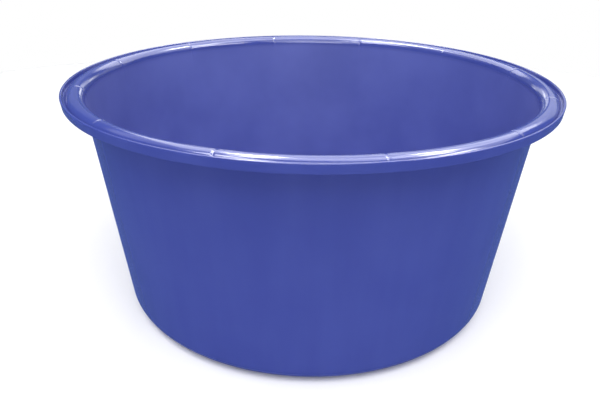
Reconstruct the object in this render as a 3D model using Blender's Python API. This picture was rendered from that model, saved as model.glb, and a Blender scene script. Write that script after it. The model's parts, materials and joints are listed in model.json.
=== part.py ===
"""Round mortar mixing tub of the 90-litre class, injection moulded in one shot from blue polyethylene.

The moulding is divided at its own moulded features: the flat bottom, the foot ring under it, the rounded
corner, the leaning side wall, and a rim made of a round roll, a narrow gutter and a lip that turns down into
a skirt. Twelve ribs inside the rim tie the roll and the skirt to the side wall. The wall and the rim are
parted into quarters at the four ribs on the diagonals.

Metres, +Z up. The origin is the centre of the foot ring's underside, where the tub stands.
"""

import math

import bmesh
import bpy
from mathutils import Matrix

# Overall sizes
RIM_DIAMETER = 0.700  # over the lip, where the tub is widest
HEIGHT = 0.329  # foot ring's underside to the roll's crest
WALL = 0.0030  # thickness of the side wall, the corner, the roll and the gutter
BASE_THICKNESS = 0.0036
DRAFT = math.radians(7.1)  # the side wall's lean, which lets tubs nest

# Bottom
FOOT_HEIGHT = 0.0030
FOOT_WIDTH = 0.0080
FOOT_INSET = 0.0050  # from the bottom's edge to the foot ring
CORNER_INSIDE_RADIUS = 0.0180

# Rim, from the lip inwards
LIP_BELOW_CREST = 0.0010
LIP_THICKNESS = 0.0032
SKIRT_DEPTH = 0.0125  # lip's top to the skirt's lower edge
SKIRT_LEAN = math.radians(8.0)  # the skirt's lower edge is drawn in
GUTTER_DEPTH = 0.0065  # lip's top to the gutter's floor
GUTTER_WIDTH = 0.0022  # level floor between the skirt and the roll
GUTTER_RISE = 0.0023  # height of the gutter's sloping side
ROLL_RADIUS = 0.0135  # outside radius of the roll

# Ribs inside the rim
RIB_COUNT = 12
RIB_START = math.radians(15.0)
RIB_THICKNESS = 0.0025
RIB_DEPTH = 0.0240  # crest to the rib's foot on the side wall
RIB_SHORT_OF_SKIRT = 0.0010

JOINT_GAP = 0.0003  # left between neighbouring features
ROUND_STEPS = 72  # facets in a full turn, a multiple of RIB_COUNT
CORNER_STEPS = 5
ROLL_STEPS = 10
LIP_STEPS = 6
GUTTER_STEPS = 2
QUARTERS = ("right", "back", "left", "front")  # of the wall and the rim

BLUE = (0.058, 0.072, 0.330, 1.0)
ROUGHNESS = 0.28

# Levels and radii that several features share
RIM_RADIUS = RIM_DIAMETER / 2
BASE_BOTTOM = FOOT_HEIGHT
BASE_TOP = BASE_BOTTOM + BASE_THICKNESS
LIP_TOP = HEIGHT - LIP_BELOW_CREST
SKIRT_BOTTOM = LIP_TOP - SKIRT_DEPTH
GUTTER_FLOOR = LIP_TOP - GUTTER_DEPTH
GUTTER_UNDERSIDE = GUTTER_FLOOR - WALL
CORNER_RADIUS = CORNER_INSIDE_RADIUS + WALL
ROLL_INSIDE_RADIUS = ROLL_RADIUS - WALL
ROLL_LEVEL = HEIGHT - ROLL_RADIUS  # height of the roll's centre
ROLL_START = math.pi - DRAFT  # where the roll leaves the side wall; angles are from the outward direction
ROLL_END = math.asin((GUTTER_FLOOR + GUTTER_RISE - ROLL_LEVEL) / ROLL_RADIUS)
GUTTER_FOOT = math.asin((GUTTER_FLOOR - ROLL_LEVEL) / ROLL_RADIUS)


def skirt_outside(z):
    """Radius of the skirt's outer face at a height."""
    return RIM_RADIUS - (LIP_TOP - LIP_THICKNESS / 2 - z) * math.tan(SKIRT_LEAN)


def skirt_inside(z):
    return skirt_outside(z) - LIP_THICKNESS / math.cos(SKIRT_LEAN)


ROLL_CENTRE = (
    skirt_inside(GUTTER_FLOOR) - GUTTER_WIDTH - ROLL_RADIUS * math.cos(GUTTER_FOOT),
    ROLL_LEVEL,
)


def wall_inside(z):
    """Radius of the side wall's inner face at a height: it runs up into the roll."""
    return ROLL_CENTRE[0] - ROLL_RADIUS / math.cos(DRAFT) - (ROLL_LEVEL - z) * math.tan(DRAFT)


def wall_outside(z):
    return wall_inside(z) + WALL / math.cos(DRAFT)


def across_wall(z):
    """The point on the inner face that lies square across the wall from the outer face at a height."""
    return wall_outside(z) - WALL * math.cos(DRAFT), z + WALL * math.sin(DRAFT)


def arc(centre, radius, start, end, steps):
    """Points on an arc in the section plane, both ends included."""
    angles = [start + (end - start) * i / steps for i in range(steps + 1)]
    return [(centre[0] + radius * math.cos(a), centre[1] + radius * math.sin(a)) for a in angles]


def gutter_underside_angle(radius):
    """Where an arc about the roll's centre comes down to the gutter's underside."""
    return math.asin((GUTTER_UNDERSIDE - ROLL_LEVEL) / radius)


def corner_centre(face, floor, radius):
    """Centre of an arc that touches a face of the side wall and a level floor."""
    z = floor + radius
    return face(z) - radius / math.cos(DRAFT), z


OUTER_CORNER = corner_centre(wall_outside, BASE_BOTTOM, CORNER_RADIUS)
INNER_CORNER = corner_centre(wall_inside, BASE_TOP, CORNER_INSIDE_RADIUS)
BASE_RADIUS = min(OUTER_CORNER[0], INNER_CORNER[0])
WALL_START = max(
    OUTER_CORNER[1] - CORNER_RADIUS * math.sin(DRAFT),
    INNER_CORNER[1] - (CORNER_INSIDE_RADIUS + WALL) * math.sin(DRAFT),
)


def plastic():
    material = bpy.data.materials.new("blue_polyethylene")
    material.use_nodes = True
    shader = material.node_tree.nodes["Principled BSDF"]
    shader.inputs["Base Color"].default_value = BLUE
    shader.inputs["Roughness"].default_value = ROUGHNESS
    shader.inputs["Metallic"].default_value = 0.0
    return material


def add_object(name, mesh, material, parent):
    if not mesh.materials:
        mesh.materials.append(material)
    mesh.shade_smooth()
    mesh.set_sharp_from_angle(angle=math.radians(35))
    piece = bpy.data.objects.new(name, mesh)
    bpy.context.scene.collection.objects.link(piece)
    piece.parent = parent
    return piece


def mesh_from(bm, name):
    bmesh.ops.recalc_face_normals(bm, faces=bm.faces)
    mesh = bpy.data.meshes.new(name)
    bm.to_mesh(mesh)
    bm.free()
    return mesh


def spun(outline, start, angle, steps):
    """A closed outline of (radius, height) points spun round the tub's axis; a full turn joins up."""
    bm = bmesh.new()
    points = [bm.verts.new((radius, 0.0, z)) for radius, z in outline]
    for first, second in zip(points, points[1:] + points[:1]):
        bm.edges.new((first, second))
    bmesh.ops.rotate(bm, verts=bm.verts, cent=(0, 0, 0), matrix=Matrix.Rotation(start, 3, "Z"))
    bmesh.ops.spin(
        bm,
        geom=bm.verts[:] + bm.edges[:],
        cent=(0, 0, 0),
        axis=(0, 0, 1),
        dvec=(0, 0, 0),
        angle=angle,
        steps=steps,
        use_merge=angle == math.tau,
    )
    return bm


def turned(name, outline):
    """A whole ring."""
    return mesh_from(spun(outline, 0.0, math.tau, ROUND_STEPS), name)


def turned_quarters(name, outline):
    """A ring in four quarters that meet at the ribs on the diagonals, each closed at its ends."""
    gap = JOINT_GAP / min(radius for radius, z in outline)
    quarter = math.tau / 4
    meshes = {}
    for number, side in enumerate(QUARTERS):
        start = (number - 0.5) * quarter + gap / 2
        bm = spun(outline, start, quarter - gap, ROUND_STEPS // 4)
        bmesh.ops.holes_fill(bm, edges=[edge for edge in bm.edges if edge.is_boundary], sides=0)
        meshes[f"{name}_{side}"] = mesh_from(bm, f"{name}_{side}")
    return meshes


def base_plate():
    """The flat bottom: a plain disc inside the corner."""
    bm = bmesh.new()
    bmesh.ops.create_circle(bm, cap_ends=True, segments=ROUND_STEPS, radius=BASE_RADIUS - JOINT_GAP)
    bmesh.ops.translate(bm, verts=bm.verts, vec=(0, 0, BASE_BOTTOM))
    grown = bmesh.ops.extrude_face_region(bm, geom=bm.faces[:])["geom"]
    raised = [item for item in grown if isinstance(item, bmesh.types.BMVert)]
    bmesh.ops.translate(bm, verts=raised, vec=(0, 0, BASE_THICKNESS))
    return mesh_from(bm, "base_plate")


def foot_ring():
    """The low ring that the tub stands on, chamfered where it meets the ground."""
    outside = BASE_RADIUS - FOOT_INSET
    inside = outside - FOOT_WIDTH
    top = BASE_BOTTOM - JOINT_GAP
    chamfer = FOOT_HEIGHT / 3
    return turned(
        "foot_ring",
        [
            (inside + chamfer, 0.0),
            (outside - chamfer, 0.0),
            (outside, chamfer),
            (outside, top),
            (inside, top),
            (inside, chamfer),
        ],
    )


def base_corner():
    """The rounded corner between the bottom and the side wall."""
    down = -math.pi / 2
    outer = arc(OUTER_CORNER, CORNER_RADIUS, down, -DRAFT, CORNER_STEPS)
    inner = arc(INNER_CORNER, CORNER_INSIDE_RADIUS, -DRAFT, down, CORNER_STEPS)
    outline = [(BASE_RADIUS, BASE_BOTTOM)] + outer
    outline += [(wall_outside(WALL_START), WALL_START), across_wall(WALL_START)]
    outline += inner + [(BASE_RADIUS, BASE_TOP)]
    return turned("base_corner", without_repeats(outline))


def without_repeats(outline):
    """The outline with points that fall on the one before them left out."""
    kept = []
    for point in outline:
        if math.dist(point, kept[-1] if kept else outline[-1]) > JOINT_GAP / 10:
            kept.append(point)
    return kept


def side_wall():
    """The leaning wall, cut square to its faces at both ends."""
    low = WALL_START + JOINT_GAP
    high = ROLL_LEVEL + ROLL_INSIDE_RADIUS * math.sin(DRAFT) - JOINT_GAP
    outline = [(wall_outside(low), low), (wall_outside(high), high)]
    outline += [across_wall(high), across_wall(low)]
    return turned_quarters("side_wall", outline)


def rim_roll():
    """The round roll that leads the side wall over to the outside."""
    outline = arc(ROLL_CENTRE, ROLL_RADIUS, ROLL_START, ROLL_END, ROLL_STEPS)
    outline += arc(ROLL_CENTRE, ROLL_INSIDE_RADIUS, ROLL_END, ROLL_START, ROLL_STEPS)
    return turned_quarters("rim_roll", outline)


def rim_gutter():
    """The foot of the roll and the narrow level floor between it and the lip."""
    start = ROLL_END - JOINT_GAP / ROLL_INSIDE_RADIUS
    under = gutter_underside_angle(ROLL_INSIDE_RADIUS)
    outline = arc(ROLL_CENTRE, ROLL_RADIUS, start, GUTTER_FOOT, GUTTER_STEPS)
    outline += [
        (skirt_inside(GUTTER_FLOOR) - JOINT_GAP, GUTTER_FLOOR),
        (skirt_inside(GUTTER_UNDERSIDE) - JOINT_GAP, GUTTER_UNDERSIDE),
    ]
    outline += arc(ROLL_CENTRE, ROLL_INSIDE_RADIUS, under, start, GUTTER_STEPS)
    return turned_quarters("rim_gutter", outline)


def rim_skirt():
    """The round-topped lip and the skirt below it."""
    half = LIP_THICKNESS / 2
    chamfer = LIP_THICKNESS / 4
    low_out, low_in = skirt_outside(SKIRT_BOTTOM), skirt_inside(SKIRT_BOTTOM)
    outline = arc((RIM_RADIUS - half, LIP_TOP - half), half, 0.0, math.pi, LIP_STEPS)
    outline += [
        (skirt_inside(SKIRT_BOTTOM + chamfer), SKIRT_BOTTOM + chamfer),
        (low_in + chamfer, SKIRT_BOTTOM),
        (low_out - chamfer, SKIRT_BOTTOM),
        (skirt_outside(SKIRT_BOTTOM + chamfer), SKIRT_BOTTOM + chamfer),
    ]
    return turned_quarters("rim_skirt", outline)


def rim_rib():
    """One rib, drawn on the plane through the tub's axis and given its thickness across that plane."""
    root = HEIGHT - RIB_DEPTH
    toe = SKIRT_BOTTOM + RIB_SHORT_OF_SKIRT
    fit = ROLL_INSIDE_RADIUS - JOINT_GAP
    under_gutter = GUTTER_UNDERSIDE - JOINT_GAP
    foot = gutter_underside_angle(ROLL_INSIDE_RADIUS)
    outline = [(wall_outside(root) + JOINT_GAP / math.cos(DRAFT), root)]
    outline += arc(ROLL_CENTRE, fit, ROLL_START, ROLL_END, ROLL_STEPS)
    outline += arc(ROLL_CENTRE, fit, ROLL_END, foot, GUTTER_STEPS)[1:-1]
    outline += [
        (ROLL_CENTRE[0] + fit * math.cos(foot), under_gutter),
        (skirt_inside(under_gutter) - JOINT_GAP, under_gutter),
        (skirt_inside(toe) - JOINT_GAP, toe),
    ]
    bm = bmesh.new()
    plate = bm.faces.new([bm.verts.new((r, -RIB_THICKNESS / 2, z)) for r, z in outline])
    grown = bmesh.ops.extrude_face_region(bm, geom=[plate])["geom"]
    far_side = [item for item in grown if isinstance(item, bmesh.types.BMVert)]
    bmesh.ops.translate(bm, verts=far_side, vec=(0, RIB_THICKNESS, 0))
    return mesh_from(bm, "rim_rib")


def main():
    for old in list(bpy.data.objects):
        bpy.data.objects.remove(old)
    moulding = bpy.data.objects.new("mixing_tub", None)
    bpy.context.scene.collection.objects.link(moulding)
    blue = plastic()
    for feature in (base_plate, foot_ring, base_corner):
        add_object(feature.__name__, feature(), blue, moulding)
    for feature in (side_wall, rim_roll, rim_gutter, rim_skirt):
        for name, mesh in feature().items():
            add_object(name, mesh, blue, moulding)
    rib_mesh = rim_rib()
    for number in range(RIB_COUNT):
        rib = add_object(f"rim_rib_{number + 1:02d}", rib_mesh, blue, moulding)
        rib.rotation_euler.z = RIB_START + number * math.tau / RIB_COUNT


main()
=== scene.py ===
"""Mortar mixing tub: one shell of blue polyethylene with a rolled rim, and twelve ribs inside the rim.

Laid out as an add-on and run as a script. Sizes are in metres, +Z up. The tub stands on its foot ring at
the origin, with its open side up.
"""

import json
import math

import bmesh
import bpy
from bpy.props import FloatProperty, FloatVectorProperty, IntProperty, PointerProperty
from mathutils import Matrix, Vector

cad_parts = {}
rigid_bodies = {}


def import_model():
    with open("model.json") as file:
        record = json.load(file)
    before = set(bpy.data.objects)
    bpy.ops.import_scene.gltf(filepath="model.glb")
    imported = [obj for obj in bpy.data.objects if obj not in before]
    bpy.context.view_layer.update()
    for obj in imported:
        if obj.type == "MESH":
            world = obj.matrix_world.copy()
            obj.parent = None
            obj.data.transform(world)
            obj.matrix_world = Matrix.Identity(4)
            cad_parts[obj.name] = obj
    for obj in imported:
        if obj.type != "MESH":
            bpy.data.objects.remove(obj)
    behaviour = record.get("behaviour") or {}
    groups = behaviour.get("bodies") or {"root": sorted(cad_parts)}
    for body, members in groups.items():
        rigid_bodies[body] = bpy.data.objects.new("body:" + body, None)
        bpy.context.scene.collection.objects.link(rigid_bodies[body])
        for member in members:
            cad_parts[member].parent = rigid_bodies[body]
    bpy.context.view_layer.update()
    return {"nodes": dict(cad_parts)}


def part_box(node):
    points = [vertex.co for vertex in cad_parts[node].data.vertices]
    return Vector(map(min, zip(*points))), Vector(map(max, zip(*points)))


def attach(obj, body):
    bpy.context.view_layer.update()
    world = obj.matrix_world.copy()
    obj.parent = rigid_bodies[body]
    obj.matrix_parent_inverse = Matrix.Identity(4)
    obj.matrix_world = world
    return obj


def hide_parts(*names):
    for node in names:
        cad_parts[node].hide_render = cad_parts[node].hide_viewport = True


for leftover in list(bpy.data.objects):
    bpy.data.objects.remove(leftover)

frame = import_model()

bl_info = {
    "name": "Mortar Mixing Tub",
    "version": (1, 0, 0),
    "blender": (4, 5, 0),
    "location": "View3D > Sidebar > Tub",
    "description": "Builds a round moulded mixing tub with a rolled rim, and a plain studio round it",
    "category": "Add Mesh",
}

RIB_NODES = sorted(name for name in frame["nodes"] if name.startswith("rim_rib_"))
SHELL_NODES = sorted(set(frame["nodes"]) - set(RIB_NODES))
PLASTIC_SLOT = "blue_polyethylene"
PLASTIC = PLASTIC_SLOT + "_moulded"

# Distances below which points count as one
ON_AXIS = 1e-6
SAME_PLACE = 1e-6
WELD = 2e-5


def box_of(start):
    """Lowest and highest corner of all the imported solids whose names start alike."""
    boxes = [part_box(name) for name in SHELL_NODES if name.startswith(start)]
    low = Vector([min(box[0][i] for box in boxes) for i in range(3)])
    high = Vector([max(box[1][i] for box in boxes) for i in range(3)])
    return low, high


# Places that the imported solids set
LIP_LOW, LIP_HIGH = box_of("rim_skirt")
ROLL_CREST = box_of("rim_roll")[1].z
BOTTOM_LOW, BOTTOM_HIGH = box_of("base_plate")
FOOT_OUTSIDE = box_of("foot_ring")[1].x


class TubSizes(bpy.types.PropertyGroup):
    """Sizes of the moulding"""

    rim_radius: FloatProperty(
        name="Rim radius",
        description="Over the lip, where the tub is widest",
        default=LIP_HIGH.x,
        unit="LENGTH",
    )
    crest: FloatProperty(
        name="Height",
        description="Ground to the top of the roll",
        default=ROLL_CREST,
        unit="LENGTH",
    )
    lip_top: FloatProperty(
        name="Lip height",
        description="Ground to the top of the lip",
        default=LIP_HIGH.z,
        unit="LENGTH",
    )
    skirt_bottom: FloatProperty(
        name="Skirt's lower edge",
        description="Ground to the skirt's lower edge",
        default=LIP_LOW.z,
        unit="LENGTH",
    )
    wall: FloatProperty(
        name="Wall",
        description="Thickness of the side wall and the roll",
        default=0.0030,
        unit="LENGTH",
    )
    draft: FloatProperty(
        name="Draft",
        description="The side wall's lean, which lets tubs nest",
        default=math.radians(7.1),
        subtype="ANGLE",
    )
    corner_radius: FloatProperty(
        name="Corner radius",
        description="Inside radius between the bottom and the side wall",
        default=0.0180,
        unit="LENGTH",
    )
    roll_radius: FloatProperty(
        name="Roll radius",
        description="Outside radius of the roll at the top of the wall",
        default=0.0135,
        unit="LENGTH",
    )
    lip_thickness: FloatProperty(
        name="Lip thickness",
        description="Thickness of the lip and its skirt",
        default=0.0032,
        unit="LENGTH",
    )
    skirt_lean: FloatProperty(
        name="Skirt lean",
        description="How far the skirt's lower edge is drawn in",
        default=math.radians(8.0),
        subtype="ANGLE",
    )
    gutter_depth: FloatProperty(
        name="Gutter depth",
        description="Lip's top to the gutter's floor",
        default=0.0065,
        unit="LENGTH",
    )
    gutter_width: FloatProperty(
        name="Gutter width",
        description="Level floor between the roll and the lip",
        default=0.0022,
        unit="LENGTH",
    )
    foot_width: FloatProperty(
        name="Foot width",
        description="Width of the ring that the tub stands on",
        default=0.0080,
        unit="LENGTH",
    )
    small_fillet: FloatProperty(
        name="Small fillet",
        description="Radius where the gutter, the skirt and the foot meet their neighbours",
        default=0.0009,
        unit="LENGTH",
    )
    rib_count: IntProperty(
        name="Ribs",
        description="Ribs inside the rim",
        default=len(RIB_NODES),
        min=1,
    )
    rib_start: FloatProperty(
        name="First rib",
        description="Direction of the first rib",
        default=math.radians(15.0),
        subtype="ANGLE",
    )
    rib_thickness: FloatProperty(
        name="Rib thickness",
        description="Thickness of a rib",
        default=0.0025,
        unit="LENGTH",
    )
    rib_depth: FloatProperty(
        name="Rib depth",
        description="Top of the roll to a rib's foot on the wall",
        default=0.0240,
        unit="LENGTH",
    )
    sink_depth: FloatProperty(
        name="Sink depth",
        description="Depth of the sink mark that each rib leaves on the roll",
        default=0.00060,
        unit="LENGTH",
    )
    sink_width: FloatProperty(
        name="Sink width",
        description="Half the width of a sink mark",
        default=0.0014,
        unit="LENGTH",
    )
    round_steps: IntProperty(
        name="Facets between ribs",
        description="Facets of the shell from one rib to the next",
        default=44,
        min=8,
    )


class TubFinish(bpy.types.PropertyGroup):
    """Look of the plastic"""

    colour: FloatVectorProperty(
        name="Blue",
        description="Colour of the pigmented polyethylene",
        subtype="COLOR",
        size=4,
        min=0.0,
        max=1.0,
        default=(0.043, 0.060, 0.296, 1.0),
    )
    colour_pale: FloatVectorProperty(
        name="Pale blue",
        description="Colour where the pigment is spread thinner along the flow",
        subtype="COLOR",
        size=4,
        min=0.0,
        max=1.0,
        default=(0.050, 0.069, 0.318, 1.0),
    )
    # Painted sheen and light: the satin inside is paled towards this colour, more higher up the wall, in
    # place of the sheen and light that fall into the basin
    painted_sheen_colour: FloatVectorProperty(
        name="Inside",
        description="Colour of the satin inside, which has a faint bloom",
        subtype="COLOR",
        size=4,
        min=0.0,
        max=1.0,
        default=(0.096, 0.122, 0.435, 1.0),
    )
    roughness: FloatProperty(
        name="Roughness",
        description="Roughness of the polished faces",
        default=0.13,
        min=0.0,
        max=1.0,
        subtype="FACTOR",
    )
    satin: FloatProperty(
        name="Satin",
        description="Roughness of the inside of the wall and the floor",
        default=0.42,
        min=0.0,
        max=1.0,
        subtype="FACTOR",
    )
    inside_radius: FloatProperty(
        name="Radius inside",
        description="Radius of the middle of the wall's thickness, drawn down to the ground",
        default=0.2808,
        unit="LENGTH",
    )
    inside_slope: FloatProperty(
        name="Slope inside",
        description="How much that radius grows with height",
        default=math.tan(math.radians(7.1)),
    )


class StudioSetup(bpy.types.PropertyGroup):
    """Floor, light and camera"""

    floor_radius: FloatProperty(
        name="Floor radius",
        description="Radius of the pale floor",
        default=1.8,
        unit="LENGTH",
    )
    surround: FloatProperty(
        name="Backdrop",
        description="Brightness of the pale backdrop",
        default=1.0,
    )
    room: FloatProperty(
        name="Room",
        description="Brightness of the room round the tub",
        default=0.52,
    )
    mirrored_room: FloatVectorProperty(
        name="Mirrored room",
        description="Colour of the room as the plastic mirrors it",
        subtype="COLOR",
        size=4,
        min=0.0,
        max=1.0,
        default=(0.10, 0.16, 0.40, 1.0),
    )


def arc(centre, radius, start, end, steps):
    """Points on an arc in the section plane, both ends included."""
    angles = [start + (end - start) * i / steps for i in range(steps + 1)]
    return [Vector((centre.x + radius * math.cos(a), centre.y + radius * math.sin(a))) for a in angles]


def fillet(before, corner, after, radius, steps):
    """Points of the rounding that replaces a corner between two straight runs."""
    back = (before - corner).normalized()
    on = (after - corner).normalized()
    half = back.angle(on) / 2
    reach = radius / math.tan(half)
    centre = corner + (back + on).normalized() * radius / math.sin(half)
    first = (corner + back * reach - centre).normalized()
    last = (corner + on * reach - centre).normalized()
    return [centre + radius * first.slerp(last, i / steps) for i in range(steps + 1)]


def rounded(corners, steps=5):
    """Points of a run of (point, radius) corners, each rounded to its radius or left sharp at 0."""
    points = []
    for i, (corner, radius) in enumerate(corners):
        if radius:
            points += fillet(corners[i - 1][0], corner, corners[i + 1][0], radius, steps)
        else:
            points.append(corner)
    return points


class Section:
    """Lines and circles that the tub's section is drawn from, as (radius, height)."""

    def __init__(self, sizes):
        self.sizes = sizes
        self.gutter_floor = sizes.lip_top - sizes.gutter_depth
        self.gutter_under = self.gutter_floor - sizes.wall
        self.roll_level = sizes.crest - sizes.roll_radius
        foot = math.asin((self.gutter_floor - self.roll_level) / sizes.roll_radius)
        reach = sizes.gutter_width + sizes.roll_radius * math.cos(foot)
        self.roll = Vector((self.skirt_inside(self.gutter_floor) - reach, self.roll_level))
        self.roll_bore = sizes.roll_radius - sizes.wall
        self.floor = BOTTOM_HIGH.z
        self.under = BOTTOM_LOW.z
        self.inner_corner = self.corner(self.wall_inside, self.floor, sizes.corner_radius)
        self.outer_corner = self.corner(self.wall_outside, self.under, sizes.corner_radius + sizes.wall)

    def skirt_outside(self, z):
        sizes = self.sizes
        below_lip = sizes.lip_top - sizes.lip_thickness / 2 - z
        return sizes.rim_radius - below_lip * math.tan(sizes.skirt_lean)

    def skirt_inside(self, z):
        return self.skirt_outside(z) - self.sizes.lip_thickness / math.cos(self.sizes.skirt_lean)

    def wall_inside(self, z):
        sizes = self.sizes
        beside_roll = self.roll.x - sizes.roll_radius / math.cos(sizes.draft)
        return beside_roll - (self.roll.y - z) * math.tan(sizes.draft)

    def wall_outside(self, z):
        return self.wall_inside(z) + self.sizes.wall / math.cos(self.sizes.draft)

    def corner(self, face, level, radius):
        """Centre of the arc that touches a face of the wall and a level floor."""
        z = level + radius
        return Vector((face(z) - radius / math.cos(self.sizes.draft), z))

    def beside_roll(self, radius, level, fillet_radius):
        """Centre of a fillet that sits on a level and against a circle about the roll's centre."""
        z = level + fillet_radius
        side = math.sqrt((radius + fillet_radius) ** 2 - (z - self.roll.y) ** 2)
        return Vector((self.roll.x + side, z))

    def outside(self):
        """From the centre of the underside out to the skirt's lower edge."""
        sizes = self.sizes
        small = sizes.small_fillet
        foot_in = FOOT_OUTSIDE - sizes.foot_width
        # The gate: the runner's stub stands in a shallow dish, clear of the ground
        dish_depth = 0.0008
        dish = (
            (0.0, 0.2),
            (0.0016, 0.2),
            (0.0021, 1.0),
            (0.0090, 1.0),
            (0.0102, 0.3),
            (0.0112, 0.0),
        )
        points = [Vector((radius, self.under + dish_depth * share)) for radius, share in dish]
        points.append(Vector((foot_in * 0.5, self.under)))
        foot_taper = 0.0004
        points += rounded(
            [
                (Vector((foot_in * 0.9, self.under)), 0),
                (Vector((foot_in, self.under)), small),
                (Vector((foot_in + foot_taper, 0.0)), small),
                (Vector((FOOT_OUTSIDE - foot_taper, 0.0)), small),
                (Vector((FOOT_OUTSIDE, self.under)), small),
                (Vector((self.outer_corner.x, self.under)), 0),
            ]
        )
        upturn = -math.pi / 2 + math.radians(6)
        points += arc(self.outer_corner, sizes.corner_radius + sizes.wall, upturn, -sizes.draft, steps=13)
        meet_wall = math.pi - sizes.draft
        low = points[-1]
        high = self.roll + self.roll_bore * Vector((math.cos(meet_wall), math.sin(meet_wall)))
        points += [low.lerp(high, share) for share in (0.1, 0.35, 0.6, 0.85, 0.93, 0.97)]
        bend = self.beside_roll(self.roll_bore, self.gutter_under, small)
        leave = math.atan2(bend.y - self.roll.y, bend.x - self.roll.x)
        points += arc(self.roll, self.roll_bore, meet_wall, leave, steps=20)
        points += arc(bend, small, leave + math.pi, 3 * math.pi / 2, steps=4)[1:]
        edge = sizes.skirt_bottom
        shoulder = sizes.lip_top - 0.004  # the skirt is straight up to here
        points += rounded(
            [
                (points[-1], 0),
                (Vector((self.skirt_inside(self.gutter_under), self.gutter_under)), small),
                (Vector((self.skirt_inside(edge), edge)), small),
                (Vector((self.skirt_outside(edge), edge)), small * 1.5),
                (Vector((self.skirt_outside(shoulder), shoulder)), 0),
            ]
        )[1:]
        return points

    def inside(self):
        """From the lip's outer face over the rim and down to the centre of the floor."""
        sizes = self.sizes
        half = sizes.lip_thickness / 2
        small = sizes.small_fillet
        gutter_fillet = small * 1.3
        lip = Vector((sizes.rim_radius - half, sizes.lip_top - half))
        points = arc(lip, half, 0.0, math.pi - 0.1, steps=10)
        foot = self.beside_roll(sizes.roll_radius, self.gutter_floor, gutter_fillet)
        meet = math.atan2(foot.y - self.roll.y, foot.x - self.roll.x)
        points += rounded(
            [
                (points[-1], 0),
                (Vector((self.skirt_inside(self.gutter_floor), self.gutter_floor)), small),
                (Vector((foot.x, self.gutter_floor)), 0),
            ]
        )[1:]
        points += arc(foot, gutter_fillet, 3 * math.pi / 2, meet + math.pi, steps=4)[1:]
        points += arc(self.roll, sizes.roll_radius, meet, math.pi - sizes.draft, steps=36)[1:]
        high = points[-1]
        corner = arc(self.inner_corner, sizes.corner_radius, -sizes.draft, -math.pi / 2, steps=12)
        low = corner[0]
        run = (high - low).length
        near_rim = (0.002, 0.005, 0.009, 0.014, 0.020, 0.027, 0.036)  # close rows, for the sink marks
        points += [high.lerp(low, depth / run) for depth in near_rim]
        points += [high.lerp(low, share) for share in (0.3, 0.5, 0.7, 0.9)]
        points += corner
        floor_edge = corner[-1].x
        points += [Vector((floor_edge * share, self.floor)) for share in (0.97, 0.8, 0.5, 0.2, 0.04, 0.0)]
        return points


def nearest_rib(angle, sizes):
    """The angle from the nearest rib's middle."""
    pitch = math.tau / sizes.rib_count
    return (angle - sizes.rib_start + pitch / 2) % pitch - pitch / 2


def gather_at_ribs(bm, sizes):
    """Turns the mesh's columns towards the ribs, so that several of them cross each narrow sink mark."""
    pitch = math.tau / sizes.rib_count
    finest = 0.16  # spacing at a rib as a share of the even spacing
    for vert in bm.verts:
        if math.hypot(vert.co.x, vert.co.y) < ON_AXIS:
            continue
        angle = math.atan2(vert.co.y, vert.co.x)
        away = nearest_rib(angle, sizes) / pitch
        moved = away * (finest + (1 - finest) * 2 * abs(away))
        vert.co.rotate(Matrix.Rotation((moved - away) * pitch, 3, "Z"))


def sink_at_ribs(bm, section):
    """Presses in the mark that each rib leaves on the roll and, fainter, on the inside of the wall."""
    sizes = section.sizes
    innermost = section.roll.x - sizes.roll_radius * 2
    off_skirt = 0.0005
    roll_end = 0.3  # the marks start this far round the roll, in radians from its outermost point
    deepest = math.pi * 0.75  # and have their whole depth from here on
    outer_share = 0.45  # depth at the outermost point as a share of the whole depth
    for vert in bm.verts:
        radius = math.hypot(vert.co.x, vert.co.y)
        place = Vector((radius, vert.co.z))
        if radius < innermost or place.x > section.skirt_inside(place.y) - off_skirt:
            continue
        off = place - section.roll
        angle = math.atan2(off.y, off.x)
        on_roll = abs(off.length - sizes.roll_radius) < sizes.wall / 3 and angle > roll_end
        on_wall = off.y < 0 and abs(radius - section.wall_inside(vert.co.z)) < sizes.wall / 3
        if not on_roll and not on_wall:
            continue
        across = radius * nearest_rib(math.atan2(vert.co.y, vert.co.x), sizes) / sizes.sink_width
        depth = sizes.sink_depth * math.exp(-across * across)
        if on_roll:
            depth *= outer_share + (1 - outer_share) * min(1.0, angle / deepest)
            inwards = -off.normalized()
        else:
            depth *= max(0.0, 1 + off.y / sizes.rib_depth) ** 2
            inwards = Vector((math.cos(sizes.draft), -math.sin(sizes.draft)))
        around = Vector((vert.co.x, vert.co.y)) / radius
        shift = inwards * depth
        vert.co += Vector((around.x * shift.x, around.y * shift.x, shift.y))


def spun_shell(sizes):
    """The shell's mesh: its section spun round the axis and closed, with the ribs' sink marks."""
    section = Section(sizes)
    outline = section.outside() + section.inside()
    bm = bmesh.new()
    verts = [bm.verts.new((point.x, 0.0, point.y)) for point in outline]
    for first, second in zip(verts, verts[1:]):
        bm.edges.new((first, second))
    start = Matrix.Rotation(sizes.rib_start, 3, "Z")
    bmesh.ops.rotate(bm, verts=bm.verts, cent=(0, 0, 0), matrix=start)
    turn = {"cent": (0, 0, 0), "axis": (0, 0, 1), "dvec": (0, 0, 0)}
    bay = math.tau / sizes.rib_count
    bmesh.ops.spin(bm, geom=bm.verts[:] + bm.edges[:], angle=bay, steps=sizes.round_steps, **turn)
    more_bays = sizes.rib_count - 1
    first_bay = bm.verts[:] + bm.edges[:] + bm.faces[:]
    bmesh.ops.spin(bm, geom=first_bay, angle=math.tau - bay, steps=more_bays, use_duplicate=True, **turn)
    bmesh.ops.remove_doubles(bm, verts=bm.verts, dist=WELD)
    bmesh.ops.recalc_face_normals(bm, faces=bm.faces)
    gather_at_ribs(bm, sizes)
    sink_at_ribs(bm, section)
    return bm


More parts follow.
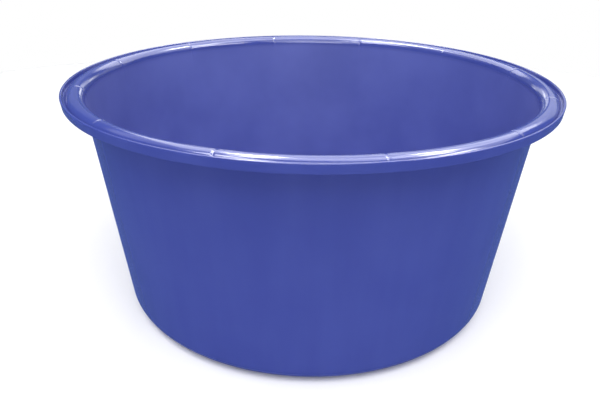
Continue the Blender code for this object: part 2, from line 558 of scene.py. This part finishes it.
def rib_plate(sizes):
    """One rib on the +X side: a plate in the rim's hollow, flared at the shell and rounded elsewhere."""
    section = Section(sizes)
    sunk = 0.0005  # how far the rib's edges run into the shell
    flare_run = 0.0009  # from the shell to where the flare ends
    flare = 1.8  # thickness at the shell as a multiple of the rib's own
    root = sizes.crest - sizes.rib_depth
    toe = sizes.skirt_bottom + 0.0012
    meet_wall = math.pi - sizes.draft
    leave = math.asin((section.gutter_under + sunk - section.roll.y) / (section.roll_bore + sunk))
    joined = [Vector((section.wall_outside(root) - sunk, root))]
    joined += arc(section.roll, section.roll_bore + sunk, meet_wall, leave, steps=16)
    joined += [
        Vector((section.skirt_inside(section.gutter_under) + sunk, section.gutter_under + sunk)),
        Vector((section.skirt_inside(toe) + sunk, toe)),
    ]
    first, last = joined[-1], joined[0]
    middle = (first + last) / 2 + Vector((-0.0012, 0.0040))  # draws the free edge up into a hollow curve
    free = []
    free_steps = 8
    for i in range(1, free_steps):
        share = i / free_steps
        free.append(first.lerp(middle, share).lerp(middle.lerp(last, share), share))
    bm = bmesh.new()
    verts = [bm.verts.new((point.x, -sizes.rib_thickness / 2, point.y)) for point in joined + free]
    held = [(point.x, point.y) for point in joined]
    plate = bm.faces.new(verts)
    grown = bmesh.ops.extrude_face_region(bm, geom=[plate])["geom"]
    far_side = [item for item in grown if isinstance(item, bmesh.types.BMVert)]
    bmesh.ops.translate(bm, verts=far_side, vec=(0, sizes.rib_thickness, 0))
    bmesh.ops.recalc_face_normals(bm, faces=bm.faces)
    bmesh.ops.bevel(
        bm,
        geom=[edge for edge in bm.edges if is_free_rim(edge, held)],
        offset=sizes.rib_thickness * 0.3,
        offset_type="OFFSET",
        segments=3,
        profile=0.5,
        affect="EDGES",
        material=-1,
    )
    sides = [face for face in bm.faces if abs(face.normal.y) > 0.9]
    run = sunk + flare_run
    bmesh.ops.inset_individual(bm, faces=sides, thickness=run, depth=0.0, use_even_offset=True)
    for vert in bm.verts:
        if is_held(vert, held):
            vert.co.y *= flare
    bmesh.ops.recalc_face_normals(bm, faces=bm.faces)
    return bm


def is_held(vert, held):
    """Whether a rib's vertex lies on the outline that joins the shell."""
    return any(math.hypot(vert.co.x - x, vert.co.z - z) < SAME_PLACE for x, z in held)


def is_free_rim(edge, held):
    """Whether an edge runs along the rib's free edge, on either side of the plate."""
    along = abs(edge.verts[0].co.y - edge.verts[1].co.y) < SAME_PLACE
    return along and not all(is_held(vert, held) for vert in edge.verts)


class NodeDesk:
    """Adds nodes to the tree of a material or a world, and links them."""

    def __init__(self, owner):
        owner.use_nodes = True
        self.tree = owner.node_tree
        self.shader = self.tree.nodes.get("Principled BSDF")

    def put(self, node, name, value):
        """Sets an input to a value or links it to a socket. The input goes by its name or its number."""
        socket = node.inputs[name]
        if isinstance(value, bpy.types.NodeSocket):
            self.tree.links.new(value, socket)
        else:
            socket.default_value = value

    def maths(self, operation, first, second=0.0, third=0.0, clamp=False):
        node = self.tree.nodes.new("ShaderNodeMath")
        node.operation = operation
        node.use_clamp = clamp
        for i, value in enumerate((first, second, third)):
            self.put(node, i, value)
        return node.outputs[0]

    def vector(self, operation, first, second=None):
        node = self.tree.nodes.new("ShaderNodeVectorMath")
        node.operation = operation
        self.put(node, 0, first)
        if second is not None:
            self.put(node, 1, second)
        return node.outputs["Value" if operation == "LENGTH" else "Vector"]

    def xyz(self, x, y, z):
        """A vector of three parts."""
        node = self.tree.nodes.new("ShaderNodeCombineXYZ")
        for name, value in (("X", x), ("Y", y), ("Z", z)):
            self.put(node, name, value)
        return node.outputs[0]

    def colours(self, share, first, second):
        """From the first colour at a share of 0 to the second at 1."""
        node = self.tree.nodes.new("ShaderNodeMix")
        node.data_type = "RGBA"
        for number, value in ((0, share), (6, first), (7, second)):
            self.put(node, number, value)
        return node.outputs[2]

    def noise(self, vector, scale, detail=2.0, roughness=0.5):
        """Noise centred on 0.5."""
        node = self.tree.nodes.new("ShaderNodeTexNoise")
        self.put(node, "Vector", vector)
        self.put(node, "Scale", scale)
        self.put(node, "Detail", detail)
        self.put(node, "Roughness", roughness)
        return node.outputs["Fac"]

    def ranged(self, value, low, high, to_low, to_high, smooth=False):
        node = self.tree.nodes.new("ShaderNodeMapRange")
        node.clamp = True
        if smooth:
            node.interpolation_type = "SMOOTHSTEP"
        for name, number in (
            ("Value", value),
            ("From Min", low),
            ("From Max", high),
            ("To Min", to_low),
            ("To Max", to_high),
        ):
            self.put(node, name, number)
        return node.outputs["Result"]

    def bump(self, height, distance, strength, normal=None):
        node = self.tree.nodes.new("ShaderNodeBump")
        self.put(node, "Height", height)
        self.put(node, "Distance", distance)
        self.put(node, "Strength", strength)
        if normal is not None:
            self.put(node, "Normal", normal)
        return node.outputs["Normal"]


def blue_polyethylene(finish):
    """Pigmented polyethylene from a polished mould, with faint flow lines and light scuffs."""
    # Heights at which the finish starts and stops changing
    ground_wear = (0.0008, 0.0030)
    floor_skin = (0.0046, 0.0050)
    # Heights over which the painted sheen and light inside grow from faint to full
    painted_sheen_rise = (0.008, 0.110)
    rim_polish = (0.312, 0.322)
    half_seam = 0.0004  # half the step from satin to gloss, in the middle of the wall's thickness

    material = bpy.data.materials.new(PLASTIC)
    desk = NodeDesk(material)
    place = desk.tree.nodes.new("ShaderNodeTexCoord").outputs["Object"]
    apart = desk.tree.nodes.new("ShaderNodeSeparateXYZ")
    desk.put(apart, "Vector", place)
    x, y, z = apart.outputs
    level = desk.xyz(x, y, 0.0)
    around = desk.vector("NORMALIZE", level)
    out = desk.vector("LENGTH", level)

    # Flow lines: the melt ran out from the gate and up the wall, so the pattern is drawn out that way
    drawn_out = desk.maths("MULTIPLY", desk.maths("ADD", z, out), 0.35)
    flow = desk.vector("ADD", around, desk.xyz(0.0, 0.0, drawn_out))
    broad_flow = desk.noise(flow, scale=7.0, detail=3.0, roughness=0.55)
    fine_flow = desk.noise(flow, scale=46.0)
    clouds = desk.noise(place, scale=9.0, detail=3.0)
    half_flow = desk.maths("MULTIPLY", broad_flow, 0.5)
    half_clouds = desk.maths("MULTIPLY", clouds, 0.5)
    pale_share = desk.ranged(desk.maths("ADD", half_flow, half_clouds), 0.36, 0.64, 0.0, 1.0, smooth=True)
    pigment = desk.colours(pale_share, finish.colour, finish.colour_pale)

    # Light scuffs: sparse fine lines in two directions, in patches
    scuffs = []
    for turn, stretch in ((0.5, 5.0), (2.1, 6.5)):
        mapping = desk.tree.nodes.new("ShaderNodeMapping")
        desk.put(mapping, "Vector", place)
        mapping.inputs["Rotation"].default_value = (turn, turn * 0.7, turn)
        mapping.inputs["Scale"].default_value = (60.0 * stretch, 60.0, 14.0)
        line = desk.noise(mapping.outputs[0], scale=1.0, detail=1.0)
        scuffs.append(desk.ranged(line, 0.70, 0.80, 0.0, 1.0))
    patches = desk.ranged(desk.noise(place, scale=14.0), 0.52, 0.66, 0.0, 1.0, smooth=True)
    scuffed = desk.maths("MULTIPLY", desk.maths("MAXIMUM", scuffs[0], scuffs[1]), patches)

    # The inside is satin, the outside glossier and the rim polished; the inside's colour is paled with
    # painted sheen and light that grow with height
    middle = desk.maths("MULTIPLY_ADD", z, finish.inside_slope, finish.inside_radius)
    inside = desk.ranged(desk.maths("SUBTRACT", out, middle), -half_seam, half_seam, 1.0, 0.0)
    above_bottom = desk.ranged(z, *floor_skin, 0.0, 1.0)
    below_rim = desk.ranged(z, *rim_polish, 1.0, 0.0, smooth=True)
    basin = desk.maths("MULTIPLY", desk.maths("MULTIPLY", inside, above_bottom), below_rim)
    satin = desk.maths("MULTIPLY", basin, finish.satin - finish.roughness)
    dull = desk.maths("MULTIPLY", below_rim, 0.06)
    # Painted sheen and light: the inside is paled more towards the top of the wall, and in cloudy patches
    painted_sheen = desk.maths("MULTIPLY", basin, desk.ranged(z, *painted_sheen_rise, 0.15, 1.0))
    painted_sheen = desk.maths("MULTIPLY", painted_sheen, desk.ranged(clouds, 0.35, 0.65, 0.6, 1.0))
    desk.put(desk.shader, "Base Color", desk.colours(painted_sheen, pigment, finish.painted_sheen_colour))

    # Wear: the foot ring is dulled by the ground
    low = desk.ranged(z, *ground_wear, 1.0, 0.0, smooth=True)
    grain = desk.noise(place, scale=900.0, roughness=0.6)
    rough = desk.maths("ADD", finish.roughness - 0.05, desk.maths("MULTIPLY", clouds, 0.07))
    rough = desk.maths("ADD", rough, desk.maths("ADD", satin, dull))
    rough = desk.maths("ADD", rough, desk.maths("MULTIPLY", fine_flow, 0.04))
    rough = desk.maths("ADD", rough, desk.maths("MULTIPLY", scuffed, 0.05))
    rough = desk.maths("ADD", rough, desk.maths("MULTIPLY", low, 0.35), clamp=True)
    desk.put(desk.shader, "Roughness", rough)

    # Surface: long shallow waves from uneven shrinking, faint flow relief, a fine skin and cut-in scuffs
    long_waves = desk.noise(flow, scale=5.0, detail=1.0, roughness=0.4)
    waves = desk.bump(long_waves, distance=0.0010, strength=0.5)
    relief = desk.bump(fine_flow, distance=0.00010, strength=0.5, normal=waves)
    skin = desk.bump(grain, distance=0.00002, strength=0.4, normal=relief)
    worn = desk.bump(scuffed, distance=0.000006, strength=-0.5, normal=skin)
    desk.put(desk.shader, "Normal", worn)
    desk.shader.inputs["IOR"].default_value = 1.51
    return material


def finish_piece(bm, name, material, nodes):
    """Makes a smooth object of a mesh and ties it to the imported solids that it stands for."""
    mesh = bpy.data.meshes.new(name)
    bm.to_mesh(mesh)
    bm.free()
    mesh.materials.append(material)
    mesh.shade_smooth()
    piece = bpy.data.objects.new(name, mesh)
    bpy.context.scene.collection.objects.link(piece)
    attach(piece, "root")
    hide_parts(*nodes)
    return piece


def plastic_of(scene):
    """The tub's one material, made the first time that a piece asks for it."""
    return bpy.data.materials.get(PLASTIC) or blue_polyethylene(scene.tub_finish)


class MESH_OT_tub_shell(bpy.types.Operator):
    """Build the moulded shell: bottom, foot ring, wall, roll, gutter, lip and skirt in one"""

    bl_idname = "mesh.tub_shell"
    bl_label = "Moulded Shell"
    bl_options = {"REGISTER", "UNDO"}

    def execute(self, context):
        bm = spun_shell(context.scene.tub_sizes)
        finish_piece(bm, "moulded_shell", plastic_of(context.scene), SHELL_NODES)
        return {"FINISHED"}


class MESH_OT_tub_ribs(bpy.types.Operator):
    """Build the twelve ribs inside the rim"""

    bl_idname = "mesh.tub_ribs"
    bl_label = "Rim Ribs"
    bl_options = {"REGISTER", "UNDO"}

    def execute(self, context):
        sizes = context.scene.tub_sizes
        pitch = math.tau / sizes.rib_count
        for number, node in enumerate(RIB_NODES):
            bm = rib_plate(sizes)
            turn = Matrix.Rotation(sizes.rib_start + number * pitch, 3, "Z")
            bmesh.ops.rotate(bm, verts=bm.verts, cent=(0, 0, 0), matrix=turn)
            finish_piece(bm, f"stiffening_rib_{number + 1:02d}", plastic_of(context.scene), [node])
        return {"FINISHED"}


def studio_floor(setup):
    """A plain pale floor."""
    bm = bmesh.new()
    bmesh.ops.create_circle(bm, cap_ends=True, segments=96, radius=setup.floor_radius)
    mesh = bpy.data.meshes.new("studio_floor")
    bm.to_mesh(mesh)
    bm.free()
    material = bpy.data.materials.new("pale_floor")
    desk = NodeDesk(material)
    place = desk.tree.nodes.new("ShaderNodeTexCoord").outputs["Object"]
    mottle = desk.noise(place, scale=3.0)
    desk.put(desk.shader, "Roughness", desk.ranged(mottle, 0.3, 0.7, 0.55, 0.65))
    desk.shader.inputs["Base Color"].default_value = (0.94, 0.94, 0.94, 1.0)
    desk.shader.inputs["Specular IOR Level"].default_value = 0.2
    desk.shader.inputs["Emission Color"].default_value = (1.0, 1.0, 1.0, 1.0)
    desk.shader.inputs["Emission Strength"].default_value = 0.08
    mesh.materials.append(material)
    floor = bpy.data.objects.new("studio_floor", mesh)
    floor.visible_glossy = False
    bpy.context.scene.collection.objects.link(floor)


def softbox(name, aim, azimuth, elevation, width, height, radiance):
    """A soft rectangular light at a distance from its aim. Azimuth is in degrees from +X towards +Y."""
    distance = 3.0
    energy_share = 4  # makes a light equally bright whatever its size
    across = math.radians(azimuth)
    up = math.radians(elevation)
    away = Vector((math.cos(across) * math.cos(up), math.sin(across) * math.cos(up), math.sin(up)))
    light = bpy.data.lights.new(name, "AREA")
    light.shape = "RECTANGLE"
    light.size = width
    light.size_y = height
    light.energy = radiance * energy_share * width * height
    lamp = bpy.data.objects.new(name, light)
    lamp.location = Vector(aim) + away * distance
    lamp.rotation_mode = "QUATERNION"
    lamp.rotation_quaternion = away.to_track_quat("Z", "Y")
    lamp.visible_camera = False
    bpy.context.scene.collection.objects.link(lamp)
    return lamp


def studio_lights():
    """Soft lights all round that light the plastic, and panels that it only mirrors."""
    middle = (0.0, 0.0, 0.32)
    front, right, left = (0.0, -0.33, 0.32), (0.33, 0.0, 0.32), (-0.33, 0.0, 0.32)
    back_left, back_right = (-0.16, 0.29, 0.32), (0.16, 0.29, 0.32)
    # Each is a name, an aim, an azimuth, an elevation, a width, a height and a brightness
    softbox("front_key", middle, -90, 54, 2.6, 1.8, 3.3)
    fills = (
        ("left_key", middle, -178, 46, 2.0, 1.4, 2.1),
        ("right_key", middle, -2, 46, 2.0, 1.4, 1.9),
        ("overhead", middle, -90, 80, 2.0, 1.6, 0.9),
    )
    mirrored = (
        ("front_sheen", middle, -90, 34, 1.7, 0.9, 5.0),
        ("back_sweep", front, 81, 48, 3.8, 2.6, 3.0),
        ("back_high", front, 78, 78, 2.4, 1.4, 5.0),
        ("back_low", middle, 88, 12, 1.6, 0.5, 1.1),
        ("right_wing", right, 60, 18, 1.6, 1.1, 0.65),
        ("left_wing", left, 116, 19, 1.5, 1.0, 0.15),
        ("left_high", (-0.25, -0.22, 0.32), 134, 52, 1.8, 1.8, 0.8),
        ("right_high", (0.25, -0.22, 0.32), 22, 54, 2.0, 2.2, 1.9),
        ("back_panel_left", (-0.05, -0.33, 0.32), 107, 56, 0.50, 0.60, 28.0),
        ("back_panel_right", (0.13, -0.31, 0.32), 55, 52, 0.60, 0.30, 30.0),
        ("high_panel_left", (-0.05, -0.34, 0.32), 132, 72, 0.60, 0.40, 18.0),
        ("high_panel_right", (0.13, -0.32, 0.32), 25, 58, 0.50, 0.50, 18.0),
        ("side_window", back_left, -22, 43, 1.6, 0.34, 18.0),
        ("front_window", back_right, -145, 60, 1.3, 0.50, 14.0),
        ("low_strip_left", left, 96, 7, 0.3, 0.24, 2.0),
        ("low_strip_right", right, 89, 12, 0.2, 0.3, 2.0),
    )
    for each in fills:
        softbox(*each).visible_glossy = False
    for each in mirrored:
        softbox(*each).visible_diffuse = False


def studio_world(setup):
    """A pale backdrop, a soft pale room that lights the tub and a dim blue one that the tub mirrors."""
    world = bpy.data.worlds.new("pale_surround")
    desk = NodeDesk(world)
    ray = desk.tree.nodes.new("ShaderNodeLightPath").outputs
    room = (setup.room, setup.room, setup.room, 1.0)
    backdrop = (setup.surround, setup.surround, setup.surround, 1.0)
    lit = desk.colours(ray["Is Glossy Ray"], room, setup.mirrored_room)
    shown = desk.colours(ray["Is Camera Ray"], lit, backdrop)
    desk.put(desk.tree.nodes["Background"], "Color", shown)
    bpy.context.scene.world = world


def studio_camera():
    """A camera in front of the tub, above its rim and looking down into it."""
    place = (0.0261, -0.9066, 0.5444)
    heading = math.radians(2.59)
    pitch = math.radians(90.0 - 24.60)
    roll = 0.0118
    camera = bpy.data.cameras.new("camera")
    camera.lens = 37.35
    camera.sensor_width = 36.0
    camera.sensor_fit = "HORIZONTAL"
    camera.clip_start = 0.05
    camera.clip_end = 60.0
    body = bpy.data.objects.new("camera", camera)
    view = Matrix.Rotation(heading, 3, "Z")
    view = view @ Matrix.Rotation(pitch, 3, "X") @ Matrix.Rotation(roll, 3, "Z")
    body.matrix_world = Matrix.Translation(place) @ view.to_4x4()
    bpy.context.scene.collection.objects.link(body)
    bpy.context.scene.camera = body


class SCENE_OT_tub_studio(bpy.types.Operator):
    """Set up the pale floor, the soft lights and the camera"""

    bl_idname = "scene.tub_studio"
    bl_label = "Studio"
    bl_options = {"REGISTER", "UNDO"}

    def execute(self, context):
        setup = context.scene.tub_studio
        studio_floor(setup)
        studio_world(setup)
        studio_lights()
        studio_camera()
        settings = context.scene.view_settings
        settings.view_transform = "Standard"
        settings.look = "None"
        return {"FINISHED"}


class VIEW3D_PT_mixing_tub(bpy.types.Panel):
    """Lists the tub's pieces and its studio"""

    bl_label = "Mortar Mixing Tub"
    bl_idname = "VIEW3D_PT_mixing_tub"
    bl_space_type = "VIEW_3D"
    bl_region_type = "UI"
    bl_category = "Tub"

    def draw(self, context):
        scene = context.scene
        groups = (("Sizes", scene.tub_sizes), ("Finish", scene.tub_finish), ("Studio", scene.tub_studio))
        for title, group in groups:
            box = self.layout.box()
            box.label(text=title)
            for name in group.__annotations__:
                box.prop(group, name)
        for operator in OPERATORS:
            self.layout.operator(operator.bl_idname)


OPERATORS = (MESH_OT_tub_shell, MESH_OT_tub_ribs, SCENE_OT_tub_studio)
CLASSES = (TubSizes, TubFinish, StudioSetup, *OPERATORS, VIEW3D_PT_mixing_tub)


def register():
    for each in CLASSES:
        bpy.utils.register_class(each)
    bpy.types.Scene.tub_sizes = PointerProperty(type=TubSizes)
    bpy.types.Scene.tub_finish = PointerProperty(type=TubFinish)
    bpy.types.Scene.tub_studio = PointerProperty(type=StudioSetup)


def unregister():
    del bpy.types.Scene.tub_studio
    del bpy.types.Scene.tub_finish
    del bpy.types.Scene.tub_sizes
    for each in reversed(CLASSES):
        bpy.utils.unregister_class(each)


def main():
    register()
    bpy.ops.mesh.tub_shell()
    bpy.ops.mesh.tub_ribs()
    bpy.ops.scene.tub_studio()


if __name__ == "__main__":
    main()
